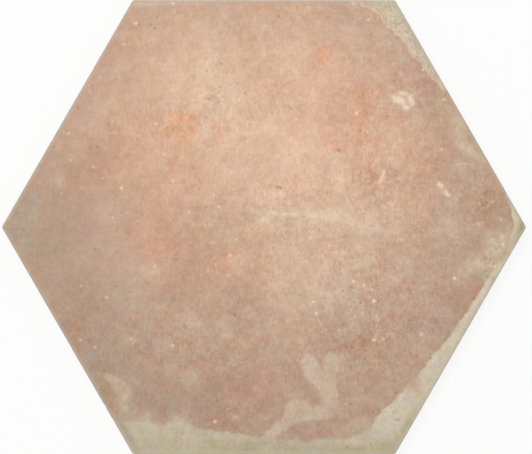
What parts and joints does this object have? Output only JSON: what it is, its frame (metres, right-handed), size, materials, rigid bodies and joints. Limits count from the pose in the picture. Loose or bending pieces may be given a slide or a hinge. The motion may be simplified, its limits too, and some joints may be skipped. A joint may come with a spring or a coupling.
{
  "type": "hexagon floor tile",
  "caption": "Regular hexagon floor tile in worn terracotta look, with rounded arrises, sandy worn margins and a honeycomb key pressed into its back.",
  "frame": {"origin": "middle of the bed face, on the surface that the tile lies on", "axes": "+Z out of the walking face, +X through one corner, +Y square to one pair of sides"},
  "size_m": [0.2766, 0.24, 0.01],
  "materials": {
    "fired_ceramic": "matt fired terracotta-look skin, mottled red and grey, worn to a sandy cream body along the margins"
  },
  "bodies": {
    "root": {"hexagon_tile": "fired_ceramic"}
  },
  "joints": []
}
